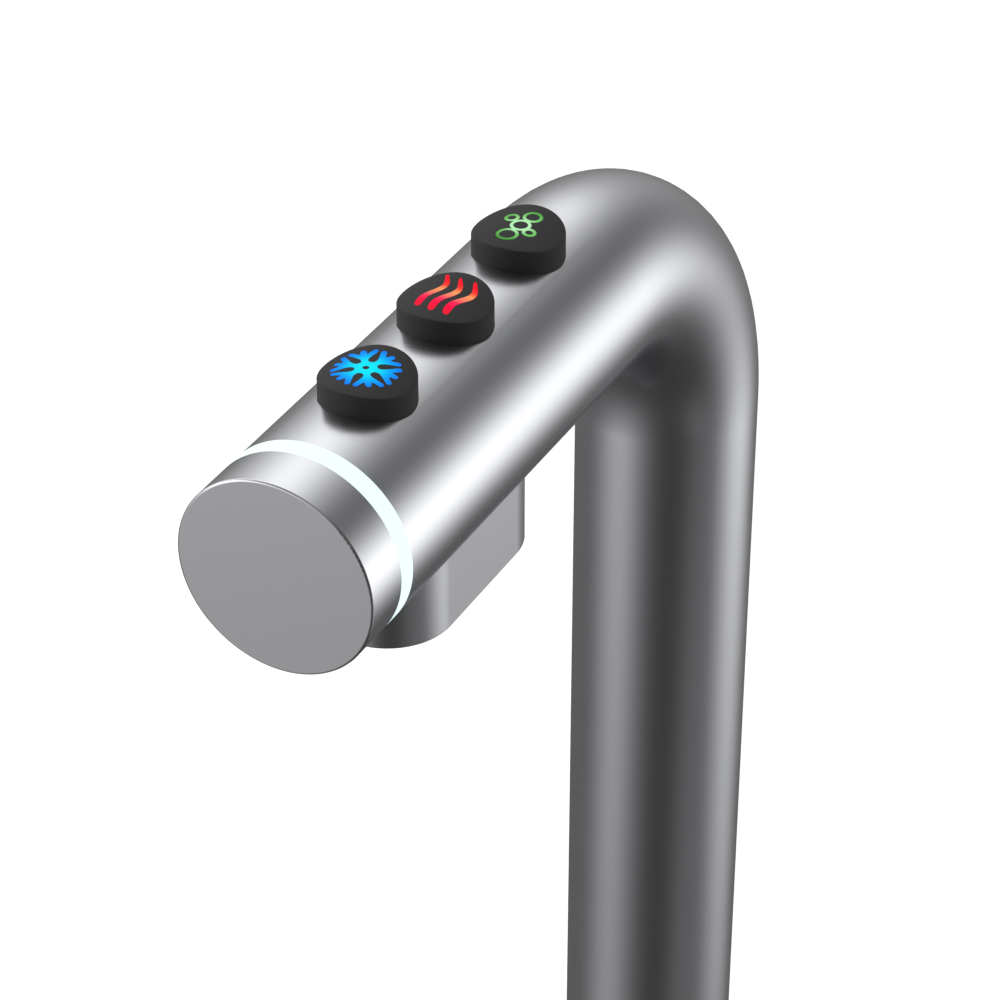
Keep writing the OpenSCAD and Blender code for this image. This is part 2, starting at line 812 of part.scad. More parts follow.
// Nuts on those screws inside the tube, with undersides that follow its wall
module manifold_nuts() {
    color(brass) nozzle_pair(manifold_screw_pitch) difference() {
        intersection() {
            peg(nut_r, -tube_r, -tube_ri + nut_t);
            translate([0, tube_r, 0]) rotate([90, 0, 0]) cylinder(r = tube_ri - fit_gap, h = tube_d);
        }
        peg(m3 / 2 + screw_gap, -tube_r - cut, 0);
    }
}

// Flow straightener: a disc with one jet hole in the middle and six round it
module flow_straightener(u, s) {
    color(clear_plastic) at_arm(s, u) difference() {
        peg(straightener_r, straightener_bottom, straightener_top);
        peg(jet_r, straightener_bottom - cut, straightener_top + cut);
        for (i = [0 : jet_count - 1]) rotate([0, 0, 360 * i / jet_count]) translate([jet_pitch_r, 0, 0])
            peg(jet_r, straightener_bottom - cut, straightener_top + cut);
    }
}

// Nozzle shell: slot-shaped cup whose rim is cut to sit on the tube
module nozzle_shell() {
    color(steel) difference() {
        at_arm(nozzle_s) stadium_block(nozzle_r, nozzle_run, nozzle_bottom, nozzle_top);
        at_arm(nozzle_s) stadium_block(shell_ri, nozzle_run, shell_floor, nozzle_top + cut);
        along_arm(nozzle_s - nozzle_len) cylinder(r = tube_r + saddle_gap, h = 2 * nozzle_len);
        for (p = outlet_places()) at_arm(p[1], p[0])
            peg(outlet_hole_r, nozzle_bottom - cut, shell_floor + cut);
        nozzle_pair(nozzle_screw_pitch) translate([0, 0, nozzle_bottom]) sunk_hole(shell_floor_t + cut);
    }
}

// Two countersunk screws that hold the shell to the manifold
module nozzle_screws() {
    color(bright_steel) nozzle_pair(nozzle_screw_pitch)
        translate([0, 0, nozzle_bottom + fit_gap]) sunk_screw(nozzle_screw_len - fit_gap);
}

// Base body: flange under the tube, spigot inside it, grooves for two seals
module base_body() {
    groove_w = 2 * (base_o_ring_r + o_ring_side);
    groove_r = spigot_r - 2 * base_o_ring_r;
    color(steel) difference() {
        union() {
            peg(flange_r, gasket_t, tube_foot);
            peg(spigot_r, gasket_t, spigot_top);
        }
        peg(shank_r + thread_gap, gasket_t - cut, shank_top);
        peg(shank_ri, gasket_t - cut, spigot_top + cut);
        for (z = [lower_o_ring_z, upper_o_ring_z])
            translate([0, 0, z - groove_w / 2]) linear_extrude(groove_w) ring2d(spigot_r + cut, groove_r);
        translate([0, shank_r + shank_clear, tube_grub_z]) rotate([-90, 0, 0])
            cylinder(d = tube_grub_d + 2 * thread_gap, h = tube_r);
    }
}

// Seal on the base's spigot
module base_o_ring(z) {
    color(rubber_black) translate([0, 0, z]) o_ring(spigot_r - base_o_ring_r + seal_gap, base_o_ring_r);
}

// Escutcheon: turned ring that hides the flange and meets the tube
module escutcheon() {
    color(steel) rotate_extrude() difference() {
        translate([tube_r + slip, gasket_t]) square([base_r - tube_r - slip, escutcheon_h]);
        translate([base_r, escutcheon_top]) rotate(180) outer_corner(escutcheon_round);
        translate([0, gasket_t - cut]) square([flange_r + slip, flange_t + slip + cut]);
    }
}

// What a rounding takes off a corner: the corner is at the origin, the piece lies in +X and +Y
module outer_corner(r) {
    difference() {
        translate([-cut, -cut]) square(r + cut);
        translate([r, r]) circle(r = r);
    }
}

// Deck gasket
module deck_gasket() {
    color(rubber_black) turned_ring(base_r - gasket_inset, shank_r + shank_clear, 0, gasket_t);
}

// Threaded shank through the worktop, its thread drawn as rings one pitch apart from the foot to the deck
module shank() {
    rings = floor(shank_len / thread_pitch) - 1;
    color(bright_steel) rotate_extrude() difference() {
        translate([shank_ri, -shank_len]) square([shank_wall, shank_len + shank_top]);
        for (k = [1 : rings])
            translate([shank_r - thread_depth, k * thread_pitch - shank_len]) thread_groove();
    }
}

// Groove of a thread: its bottom at the origin, opening in +X
module thread_groove() {
    deep = thread_depth + cut;
    side = deep * tan(thread_angle / 2);
    polygon([[0, 0], [deep, -side], [deep, side]]);
}

// Flat washer round the shank from height low to height high
module shank_washer(low, high) {
    turned_ring(base_r, shank_r + shank_clear, low, high);
}

// Rubber washer against the worktop's underside
module rubber_washer() {
    color(rubber_black) shank_washer(steel_washer_z + steel_washer_t, -worktop_t);
}

// Steel washer that the back nut turns on
module steel_washer() {
    color(bright_steel) shank_washer(steel_washer_z, steel_washer_z + steel_washer_t);
}

// Back nut: hexagon whose corners are turned off, and chamfered towards both faces
module back_nut() {
    nut_z = steel_washer_z - nut_h;
    corner_r = nut_af / sqrt(3);
    rim_r = corner_r - nut_corner_round;
    face_r = nut_af / 2 - nut_face_inset;
    rise = (rim_r - face_r) * tan(nut_chamfer_angle);
    color(brass) difference() {
        intersection() {
            translate([0, 0, nut_z]) cylinder(r = corner_r, h = nut_h, $fn = 6);
            rotate_extrude() polygon([
                [0, nut_z], [face_r, nut_z], [rim_r, nut_z + rise],
                [rim_r, steel_washer_z - rise], [face_r, steel_washer_z], [0, steel_washer_z]
            ]);
        }
        peg(shank_r + thread_gap, nut_z - cut, steel_washer_z + cut);
    }
}

// Grub screw at the back of the column, into the base
module tube_grub_screw() {
    color(bright_steel) translate([0, tube_r - fit_gap, tube_grub_z]) rotate([90, 0, 0])
        grub_screw(tube_grub_d, tube_grub_len, grub_key);
}

spout_tube();
button_carrier();
carrier_screws();
control_board();
board_connector();
board_screws();
button_switch(first_button_s);  // chilled_switch
button_switch(second_button_s);  // boiling_switch
button_switch(third_button_s);  // sparkling_switch
wiring_loom();
loom_socket();
color(dark_plastic) column_plate(lower_spacer_z, tube_ri - spacer_gap, spacer_t);  // lower_pipe_spacer
color(dark_plastic) column_plate(upper_spacer_z, tube_ri - spacer_gap, spacer_t);  // upper_pipe_spacer
color(rubber_black) column_plate(grommet_z, shank_ri - slip, grommet_t);  // shank_grommet
button_cap(first_button_s);  // chilled_button_cap
light_guide(first_button_s);  // chilled_light_guide
button_plunger(first_button_s);  // chilled_button_plunger
button_spring(first_button_s);  // chilled_button_spring
button_cap(second_button_s);  // boiling_button_cap
light_guide(second_button_s);  // boiling_light_guide
button_plunger(second_button_s);  // boiling_button_plunger
button_spring(second_button_s);  // boiling_button_spring
button_cap(third_button_s);  // sparkling_button_cap
light_guide(third_button_s);  // sparkling_light_guide
button_plunger(third_button_s);  // sparkling_button_plunger
button_spring(third_button_s);  // sparkling_button_spring
light_ring();
ring_board();
ring_lamps();
end_plug();
plug_screws();
end_cap();
end_cap_o_ring();
end_cap_grub_screw();
water_pipe(0, hot_socket_s, hot_foot);  // boiling_pipe
boiling_pipe_sleeve();
water_pipe(chilled_u, cold_socket_s, cold_foot);  // chilled_pipe
water_pipe(sparkling_u, cold_socket_s, cold_foot);  // sparkling_pipe
pipe_seal(0, hot_socket_s);  // boiling_pipe_seal
pipe_seal(chilled_u, cold_socket_s);  // chilled_pipe_seal
pipe_seal(sparkling_u, cold_socket_s);  // sparkling_pipe_seal
outlet_manifold();
manifold_screws();
manifold_nuts();
flow_straightener(0, hot_socket_s);  // boiling_flow_straightener
flow_straightener(chilled_u, cold_socket_s);  // chilled_flow_straightener
flow_straightener(sparkling_u, cold_socket_s);  // sparkling_flow_straightener
nozzle_shell();
nozzle_screws();
base_body();
base_o_ring(lower_o_ring_z);  // lower_base_o_ring
base_o_ring(upper_o_ring_z);  // upper_base_o_ring
escutcheon();
deck_gasket();
shank();
rubber_washer();
steel_washer();
back_nut();
tube_grub_screw();
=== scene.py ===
"""Dressed model of a deck-mounted tap for boiling, chilled and sparkling water.

A bent satin tube makes the column and the arm. Three lit push buttons stand on the arm, a glowing
ring sits before the end cap, and one nozzle hangs under it. Lengths in the classes are millimetres,
and MM turns them into the frame's metres. Stations are distances from the column's axis along the
arm, and heights in the arm are counted from its axis.
"""

import logging
import math
from dataclasses import dataclass, replace
from enum import Enum
from typing import Callable

import bpy
import numpy as np
from bpy.types import Material, Mesh, Node, NodeSocket, NodeTree, Object, bpy_prop_collection
from mathutils import Matrix, Vector


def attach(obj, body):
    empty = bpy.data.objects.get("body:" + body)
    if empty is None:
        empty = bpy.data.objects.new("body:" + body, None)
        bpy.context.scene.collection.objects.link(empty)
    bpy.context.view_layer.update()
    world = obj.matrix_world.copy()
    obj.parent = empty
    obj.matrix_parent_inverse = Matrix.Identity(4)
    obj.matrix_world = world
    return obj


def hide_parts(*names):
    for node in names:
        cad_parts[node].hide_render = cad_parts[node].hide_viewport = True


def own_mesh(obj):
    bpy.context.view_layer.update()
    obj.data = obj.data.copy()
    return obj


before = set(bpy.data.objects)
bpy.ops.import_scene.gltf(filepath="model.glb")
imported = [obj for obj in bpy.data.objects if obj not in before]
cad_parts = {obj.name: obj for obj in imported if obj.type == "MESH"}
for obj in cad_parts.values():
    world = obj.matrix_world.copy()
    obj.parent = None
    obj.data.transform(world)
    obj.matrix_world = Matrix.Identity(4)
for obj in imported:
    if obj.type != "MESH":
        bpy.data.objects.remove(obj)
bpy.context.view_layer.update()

MM = 0.001
MICRON = 1e-6
# Height of the arm's axis, and radius and height of the centre of the tube's bend, in millimetres
AXIS_H = 340.0
BEND_R = 66.7
BEND_Z = AXIS_H - BEND_R
# Edges above the first angle stay sharp, and seams below the second are smoothed, in degrees
SHARP_ANGLE = 35.0
SEAM_ANGLE = 7.0
# The snowflake's middle from the middle of its button, in millimetres
FLAKE_CENTRE = (-0.65, 0.55)
WATERS = ("boiling", "chilled", "sparkling")
LOG = logging.getLogger("water_tap")


class Axis(Enum):
    """The line that a turned shape is turned about."""

    COLUMN = "up from the worktop"
    ARM = "forward along the arm"


def linear(colour: str) -> tuple[float, float, float, float]:
    """Turns an sRGB hex colour into linear red, green, blue and alpha.

    Args:
        colour: six hex digits after a hash.

    Returns:
        Linear values. Below 0.04045 the curve is a straight line, above it a power of 2.4.
    """
    parts = np.array([int(colour[k:k + 2], 16) for k in (1, 3, 5)]) / 255
    curved = ((parts + 0.055) / 1.055) ** 2.4
    red, green, blue = np.where(parts <= 0.04045, parts / 12.92, curved)
    return float(red), float(green), float(blue), 1.0


def add_node(
    tree: NodeTree,
    kind: str,
    links: dict | None = None,
    values: dict | None = None,
    **settings: object,
) -> Node:
    """Adds one node with its settings, constants and links.

    Args:
        tree: the node tree to add to.
        kind: Blender's name of the node's type, without ShaderNode before it.
        links: input name or number, and the output socket that feeds it.
        values: input name or number, and its constant.
        settings: the node's own settings by name.

    Returns:
        The new node.
    """
    node = tree.nodes.new(f"ShaderNode{kind}")
    for key, value in settings.items():
        setattr(node, key, value)
    for key, value in (values or {}).items():
        node.inputs[key].default_value = value
    for key, socket in (links or {}).items():
        tree.links.new(socket, node.inputs[key])
    return node


@dataclass(frozen=True)
class Finish:
    """A real material and the way its surface was made.

    Attributes:
        name: common name and making of the material.
        slot: the record's material slot.
        colour: sRGB colour, for a metal that of its reflection.
        roughness: middle of the gloss's spread.
        metallic: 1 for bare metal and 0 for all else.
        grain: size of the finest pattern in millimetres.
        stretch: how many times longer than wide that pattern is along X, Y and Z.
        depth: height of that pattern in millimetres.
        patches: size in millimetres of the soft patches in which the gloss differs.
        uneven: how far the gloss differs between patches.
        clear: share of the light that goes through.
        ior: how much it bends that light.
        glow: sRGB colour of its own light.
        strength: level of its own light, where 1 is white.
    """

    name: str
    slot: str
    colour: str
    roughness: float
    metallic: float = 0.0
    grain: float = 0.5
    stretch: tuple[float, float, float] = (1.0, 1.0, 1.0)
    depth: float = 0.002
    patches: float = 14.0
    uneven: float = 0.04
    clear: float = 0.0
    ior: float = 1.5
    glow: str = "#FFFFFF"
    strength: float = 0.0

    def material(self) -> Material:
        """Makes the material, or finds the one made before.

        Returns:
            The material.
        """
        found = bpy.data.materials.get(self.name)
        if found:
            return found
        material = bpy.data.materials.new(self.name)
        material.use_nodes = True
        tree = material.node_tree
        shader = tree.nodes["Principled BSDF"]
        values = {
            "Base Color": linear(self.colour),
            "Metallic": self.metallic,
            "Roughness": self.roughness,
            "Transmission Weight": self.clear,
            "IOR": self.ior,
            "Emission Color": linear(self.glow),
            "Emission Strength": self.strength,
        }
        for name, value in values.items():
            shader.inputs[name].default_value = value
        self.dress(tree, shader)
        return material

    def grain_place(self, tree: NodeTree, place: NodeSocket) -> NodeSocket:
        """Returns the coordinates that the grain is drawn on, in grain widths.

        Args:
            tree: the material's nodes.
            place: Object coordinates.

        Returns:
            The coordinates over the grain's width, and over its length where it is stretched.
        """
        scale = tuple(1 / (self.grain * MM * longer) for longer in self.stretch)
        mapping = add_node(tree, "Mapping", {"Vector": place}, {"Scale": scale})
        return mapping.outputs["Vector"]

    def dress(self, tree: NodeTree, shader: Node) -> None:
        """Adds the grain as a bump and the patches as a difference in gloss.

        Args:
            tree: the material's nodes.
            shader: its Principled BSDF.
        """
        place = add_node(tree, "TexCoord").outputs["Object"]
        pattern = self.grain_place(tree, place)
        grain = add_node(tree, "TexNoise", {"Vector": pattern}, {"Scale": 1.0, "Detail": 2.0})
        height = {"Strength": 1.0, "Distance": self.depth * MM}
        bump = add_node(tree, "Bump", {"Height": grain.outputs["Fac"]}, height)
        tree.links.new(bump.outputs["Normal"], shader.inputs["Normal"])
        size = {"Scale": 1 / (self.patches * MM), "Detail": 3.0}
        patches = add_node(tree, "TexNoise", {"Vector": place}, size)
        spread = {"To Min": self.roughness - self.uneven, "To Max": self.roughness + self.uneven}
        gloss = add_node(tree, "MapRange", {"Value": patches.outputs["Fac"]}, spread)
        tree.links.new(gloss.outputs["Result"], shader.inputs["Roughness"])


@dataclass(frozen=True)
class TubeFinish(Finish):
    """Satin metal whose grain runs round the bent tube, as a polishing belt leaves it.

    Attributes:
        grain_length: length of one hair line in millimetres. Its width is the grain.
    """

    grain_length: float = 7.0

    def grain_place(self, tree: NodeTree, place: NodeSocket) -> NodeSocket:
        """Returns coordinates along the tube's centreline and across its section.

        The way along the tube is the height up to the bend, plus the bend's radius times the angle
        turned, plus the way forward in the arm. The place across is x, and the distance from the
        bend's centre line less the bend's radius.

        Args:
            tree: the material's nodes.
            place: Object coordinates.

        Returns:
            The place along the tube in grain widths, and across it in grain lengths.
        """
        axes = add_node(tree, "SeparateXYZ", {"Vector": place}).outputs
        known = {"x": axes["X"], "y": axes["Y"], "z": axes["Z"]}
        steps = (
            ("forward", "ADD", "y", BEND_R * MM),
            ("rise", "SUBTRACT", "z", BEND_Z * MM),
            ("run", "MULTIPLY", "forward", -1.0),
            ("run", "MAXIMUM", "run", 0.0),
            ("forward", "MAXIMUM", "forward", 0.0),
            ("up", "MINIMUM", "rise", 0.0),
            ("rise", "MAXIMUM", "rise", 0.0),
            ("turn", "ARCTAN2", "rise", "forward"),
            ("turn", "MULTIPLY", "turn", BEND_R * MM),
            ("along", "ADD", "up", "turn"),
            ("along", "ADD", "along", "run"),
            ("rise", "MULTIPLY", "rise", "rise"),
            ("forward", "MULTIPLY", "forward", "forward"),
            ("across", "ADD", "rise", "forward"),
            ("across", "SQRT", "across", 0.0),
            ("across", "SUBTRACT", "across", BEND_R * MM),
            ("along", "DIVIDE", "along", self.grain * MM),
            ("across", "DIVIDE", "across", self.grain_length * MM),
            ("x", "DIVIDE", "x", self.grain_length * MM),
        )
        for result, operation, *operands in steps:
            links = {k: known[name] for k, name in enumerate(operands) if isinstance(name, str)}
            values = {k: number for k, number in enumerate(operands) if not isinstance(number, str)}
            node = add_node(tree, "Math", links, values, operation=operation)
            known[result] = node.outputs[0]
        links = {"X": known["along"], "Y": known["across"], "Z": known["x"]}
        return add_node(tree, "CombineXYZ", links).outputs["Vector"]


@dataclass(frozen=True)
class TurnedFinish(Finish):
    """Metal with the fine rings that a lathe tool leaves round the column or the arm.

    Attributes:
        axis: the line that the rings go round.
    """

    axis: Axis = Axis.ARM

    def grain_place(self, tree: NodeTree, place: NodeSocket) -> NodeSocket:
        """Returns the distance from the axis and the place along it, in grain widths.

        Args:
            tree: the material's nodes.
            place: Object coordinates.

        Returns:
            Length of the part across the axis, joined with the part along it.
        """
        grains = 1 / (self.grain * MM)
        if self.axis is Axis.ARM:
            lower, flat, line = -AXIS_H / self.grain, (grains, 0.0, grains), (0.0, grains, 0.0)
        else:
            lower, flat, line = 0.0, (grains, grains, 0.0), (0.0, 0.0, grains)
        values = {"Location": (0.0, 0.0, lower), "Scale": flat}
        across = add_node(tree, "Mapping", {"Vector": place}, values)
        along = add_node(tree, "Mapping", {"Vector": place}, {"Scale": line})
        radius, length = (
            add_node(tree, "VectorMath", {0: part.outputs["Vector"]}, operation="LENGTH")
            for part in (across, along)
        )
        links = {"X": radius.outputs["Value"], "Y": length.outputs["Value"]}
        return add_node(tree, "CombineXYZ", links).outputs["Vector"]


class Shade(Enum):
    """The direction in which an icon's colour changes."""

    OUTWARD = "from its middle to its rim"
    UPWARD = "from its lower end to its upper end"


@dataclass(frozen=True)
class IconFinish(Finish):
    """Lit ink over a light guide, whose colour changes over the icon.

    Attributes:
        station: the button's distance from the column's axis, in millimetres.
        centre: the middle of its colours from the button's middle, in millimetres.
        reach: distance from that middle over which the colour changes, in millimetres.
        shade: the direction of the change.
        stops: places from 0 to 1 with their colours.
        shine: level of its reflection, where 0.5 is common plastic.
    """

    slot: str = "icon_light_guide"
    colour: str = "#080809"
    roughness: float = 0.6
    strength: float = 1.0
    station: float = 0.0
    centre: tuple[float, float] = (0.0, 0.0)
    reach: float = 8.0
    shade: Shade = Shade.OUTWARD
    stops: tuple[tuple[float, str], ...] = ()
    shine: float = 0.05

    def dress(self, tree: NodeTree, shader: Node) -> None:
        """Adds the glow: a ramp over the distance from the middle, or over the way up the icon.

        Outward the ramp's place is the distance from the middle over the reach. Upward it is a half
        in the middle, and 0 and 1 one reach below and above it.

        Args:
            tree: the material's nodes.
            shader: its Principled BSDF.
        """
        super().dress(tree, shader)
        shader.inputs["Specular IOR Level"].default_value = self.shine
        place = add_node(tree, "TexCoord").outputs["Object"]
        size = 1 / (self.reach * MM)
        across, towards = -self.centre[0] / self.reach, (self.station - self.centre[1]) / self.reach
        if self.shade is Shade.OUTWARD:
            values = {"Location": (across, towards, 0.0), "Scale": (size, size, 0.0)}
            spot = add_node(tree, "Mapping", {"Vector": place}, values)
            away = add_node(tree, "VectorMath", {0: spot.outputs["Vector"]}, operation="LENGTH")
            share = away.outputs["Value"]
        else:
            values = {"Location": (0.0, 0.5 + towards / 2, 0.0), "Scale": (0.0, size / 2, 0.0)}
            spot = add_node(tree, "Mapping", {"Vector": place}, values)
            axes = add_node(tree, "SeparateXYZ", {"Vector": spot.outputs["Vector"]})
            share = axes.outputs["Y"]
        ramp = add_node(tree, "ValToRGB", {"Fac": share})
        marks = ramp.color_ramp.elements
        while len(marks) < len(self.stops):
            marks.new(1.0)
        for mark, (position, colour) in zip(marks, self.stops):
            mark.position = position
            mark.color = linear(colour)
        tree.links.new(ramp.outputs["Color"], shader.inputs["Emission Color"])


@dataclass(frozen=True)
class BoardFinish(Finish):
    """Solder mask over copper tracks: straight runs in two greens, as a bare board shows them.

    Attributes:
        track: width of a track, and of the room between two, in millimetres.
        track_share: length of a track over its width.
        copper: sRGB colour of the mask over a track.
    """

    track: float = 1.1
    track_share: float = 14.0
    copper: str = "#2E7A52"

    def dress(self, tree: NodeTree, shader: Node) -> None:
        """Adds the grain and the tracks, which are bricks much longer than they are wide.

        Args:
            tree: the material's nodes.
            shader: its Principled BSDF.
        """
        super().dress(tree, shader)
        place = add_node(tree, "TexCoord").outputs["Object"]
        quarter = {"Rotation": (0.0, 0.0, math.pi / 2)}
        turned = add_node(tree, "Mapping", {"Vector": place}, quarter)
        values = {
            "Color1": linear(self.colour),
            "Color2": linear(self.copper),
            "Mortar": linear(self.colour),
            "Scale": 1.0,
            "Mortar Size": self.track * MM / 4,
            "Brick Width": self.track_share * self.track * MM,
            "Row Height": self.track * MM,
        }
        tracks = add_node(tree, "TexBrick", {"Vector": turned.outputs["Vector"]}, values)
        tree.links.new(tracks.outputs["Color"], shader.inputs["Base Color"])


# 304 stainless steel, satin: wide soft reflections
STEEL = "#CBCCCF"
# The tube, belt polished: hair lines too fine to see far off
SATIN_TUBE = TubeFinish(
    "satin_stainless_steel_tube", "satin_steel", STEEL, 0.25, 1.0, 0.35, depth=0.0004, uneven=0.015
)
# The same steel pressed and bead blasted: no direction in its grain
SATIN_SHELL = Finish(
    "bead_blasted_stainless_steel", "satin_steel", STEEL, 0.25, 1.0, 0.4, depth=0.0004, uneven=0.015
)
# Turned and satin polished on the lathe: rings round the arm or the column that only show close to
TURNED_CAP = TurnedFinish(
    "turned_stainless_steel_cap", "satin_steel", STEEL, 0.25, 1.0, 0.4, depth=0.0003, uneven=0.015
)
TURNED_BASE = TurnedFinish(
    "turned_stainless_steel_base", "satin_steel", STEEL, 0.25, 1.0, 0.4, depth=0.0003, uneven=0.015,
    axis=Axis.COLUMN,
)
# Turned 6000 series aluminium, left bright: paler than the steel, with clear tool rings
TURNED_ALUMINIUM = TurnedFinish(
    "turned_aluminium", "turned_aluminium", "#D9DADB", 0.34, 1.0, 0.5, depth=0.002
)
# Drawn and passivated stainless steel: brighter and smoother than the satin
BRIGHT_STEEL = Finish(
    "drawn_stainless_steel", "bright_steel", "#D6D7D6", 0.22, 1.0, 0.6, (1, 1, 6), 0.001
)
# Cold headed A2 screws: rolled, slightly uneven
SCREW_STEEL = Finish(
    "a2_stainless_steel_screws", "bright_steel", "#CFCFCD", 0.28, 1.0, 0.4, depth=0.003
)
# Music wire with a clear zinc coat
SPRING_WIRE = Finish("zinc_coated_spring_wire", "bright_steel", "#BFC3C8", 0.3, 1.0, 0.3, depth=0.003)
# Bar brass, turned and left raw: warm, with darker hand marks
RAW_BRASS = TurnedFinish(
    "turned_brass", "yellow_brass", "#D9B36A", 0.3, 1.0, 0.5, depth=0.003, uneven=0.08,
    axis=Axis.COLUMN,
)
# ABS with a fine spark-eroded skin: black, satin, with a faint grey bloom on upward faces
BLACK_CAP = Finish("spark_eroded_black_abs", "black_plastic", "#313132", 0.8, 0.0, 0.3, depth=0.008)
# Glass-filled nylon: dark grey and dull, its fibres show as a short grain
GLASS_NYLON = Finish("glass_filled_nylon", "dark_plastic", "#3A3B3E", 0.55, 0.0, 0.6, (1, 3, 1), 0.01)
# Polycarbonate, polished mould: clear with a slight blue cast
CLEAR_PC = Finish(
    "clear_polycarbonate", "clear_plastic", "#E6EEF2", 0.12, depth=0.0005, clear=0.8, ior=1.49
)
# Acrylic light guide with its icon side lit
LIT_GUIDE = Finish(
    "lit_acrylic_guide", "icon_light_guide", "#E8F4F8", 0.3, glow="#DDF4FF", strength=0.6
)
# Opal acrylic ring, edge lit: an even cool white with no bright spots
OPAL_RING = Finish(
    "opal_acrylic_ring", "ring_glow", "#5A6062", 0.6, depth=0.0004, glow="#E9FFFF", strength=1.03
)
# Surface mounted lamps: milky domes, lit
LAMP_WHITE = Finish("lamp_epoxy", "lamp_white", "#F2F4EC", 0.3, strength=1.0)
# FR4 with green solder mask: glossy, with lighter runs over the copper
SOLDER_MASK = BoardFinish("green_solder_mask", "board_green", "#1F5A3C", 0.3, depth=0.002)
# EPDM, moulded: nearly black, dull, dusty where it is not rubbed
BLACK_RUBBER = Finish(
    "moulded_epdm_rubber", "black_rubber", "#1F1F21", 0.62, 0.0, 0.5, depth=0.01, uneven=0.1
)
# Extruded silicone sleeve: pale, with faint lines along it
PALE_SILICONE = Finish(
    "extruded_silicone", "pale_silicone", "#DCD8CE", 0.5, 0.0, 0.5, (1, 1, 12), 0.006
)


def shape(
    name: str,
    vertices: np.ndarray,
    faces: list,
    finish: Finish,
    body: str,
    replaced: tuple[str, ...] = (),
) -> Object:
    """Makes a mesh object at the origin, gives it its finish and lets it ride on a body.

    Args:
        name: the piece's name.
        vertices: corner points in the frame, in metres.
        faces: corner numbers of each face, outward.
        finish: the finish to wear.
        body: the CAD body that it moves with.
        replaced: CAD nodes that it stands for.

    Returns:
        The object.
    """
    mesh = bpy.data.meshes.new(name)
    mesh.from_pydata(vertices.reshape(-1, 3).tolist(), [], faces)
    mesh.validate()
    mesh.shade_smooth()
    mesh.set_sharp_from_angle(angle=math.radians(SHARP_ANGLE))
    mesh.materials.append(finish.material())
    piece = bpy.data.objects.new(name, mesh)
    bpy.context.scene.collection.objects.link(piece)
    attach(piece, body)
    if replaced:
        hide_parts(*replaced)
    LOG.info("%s: %d faces on %s", name, len(mesh.polygons), body)
    return piece


def rings_to_solid(rings: np.ndarray) -> tuple[np.ndarray, list]:
    """Joins rings of points into a surface, closed by a point amid the first and the last ring.

    Rings are rows and points on a ring are columns, and each quad takes two neighbours of both. The
    faces look outward where the rings run down a shape that turns anticlockwise as seen from above.

    Args:
        rings: array of rows, columns and coordinates.

    Returns:
        The vertices and the faces.
    """
    rows, columns = rings.shape[:2]
    around = np.arange(columns)
    beside = (around + 1) % columns
    above = np.arange(rows - 1)[:, None] * columns
    below = above + columns
    corners = (above + around, below + around, below + beside, above + beside)
    faces = np.stack(corners, -1).reshape(-1, 4).tolist()
    top, bottom = rows * columns, rows * columns + 1
    last = (rows - 1) * columns
    faces += np.stack([np.full(columns, top), around, beside], -1).tolist()
    faces += np.stack([np.full(columns, bottom), last + beside, last + around], -1).tolist()
    return np.vstack([rings.reshape(-1, 3), rings[0].mean(0), rings[-1].mean(0)]), faces


def read(items: bpy_prop_collection, name: str, width: int, kind: type = float) -> np.ndarray:
    """Reads one property of a mesh's items as rows of numbers.

    Args:
        items: the mesh's items, such as its vertices.
        name: the property.
        width: how many numbers it has for each item.
        kind: their type.

    Returns:
        One row for each item.
    """
    values = np.empty(len(items) * width, dtype=kind)
    items.foreach_get(name, values)
    return values.reshape(-1, width)


def merged_triangles(solid: Mesh) -> tuple[np.ndarray, np.ndarray, np.ndarray]:
    """Reads the loose triangles of a CAD mesh, and merges the points that lie within a micron.

    Args:
        solid: the mesh.

    Returns:
        The points, the three point numbers of each triangle, and the normals at its three corners.
    """
    solid.calc_loop_triangles()
    corners = read(solid.loop_triangles, "loops", 3, int)
    owner = read(solid.loops, "vertex_index", 1, int).ravel()
    places = read(solid.vertices, "co", 3)[owner[corners.ravel()]]
    spots, spot = np.unique(np.rint(places / MICRON), axis=0, return_inverse=True)
    triangles = spot.reshape(-1, 3)
    sound = np.all(np.diff(np.sort(triangles, axis=1), axis=1) > 0, axis=1)
    normals = read(solid.corner_normals, "vector", 3)[corners]
    return spots * MICRON, triangles[sound], normals[sound]


def smooth_normals(points: np.ndarray, triangles: np.ndarray, normals: np.ndarray) -> np.ndarray:
    """Smooths corner normals over the seams of a mesh.

    Each corner's normal is the sum of the normals at its point that lie within the seam angle of its
    own, each times the angle of its triangle's corner and the triangle's area, brought to unit
    length. The corners are put in the order of their points, so that those at one point stand a few
    steps apart.

    Args:
        points: the mesh's points.
        triangles: the three point numbers of each triangle.
        normals: the normals at its three corners.

    Returns:
        The smoothed normals, one for each corner.
    """
    places = points[triangles]
    sides = np.roll(places, -1, axis=1) - places
    areas = np.linalg.norm(np.cross(sides[:, 0], sides[:, 1]), axis=1)
    sides /= np.linalg.norm(sides, axis=2, keepdims=True)
    angles = np.arccos(np.clip(-np.sum(sides * np.roll(sides, 1, axis=1), axis=2), -1.0, 1.0))
    order = np.argsort(triangles.ravel(), kind="stable")
    point = triangles.ravel()[order]
    kinds = normals.reshape(-1, 3)[order]
    shares = kinds * (angles * areas[:, None]).ravel()[order, None]
    total = shares.copy()
    for step in range(1, int(np.bincount(point).max())):
        near = point[step:] == point[:-step]
        near &= np.sum(kinds[step:] * kinds[:-step], axis=1) > math.cos(math.radians(SEAM_ANGLE))
        total[step:] += shares[:-step] * near[:, None]
        total[:-step] += shares[step:] * near[:, None]
    smooth = np.empty_like(total)
    smooth[order] = total / np.linalg.norm(total, axis=1, keepdims=True)
    return smooth


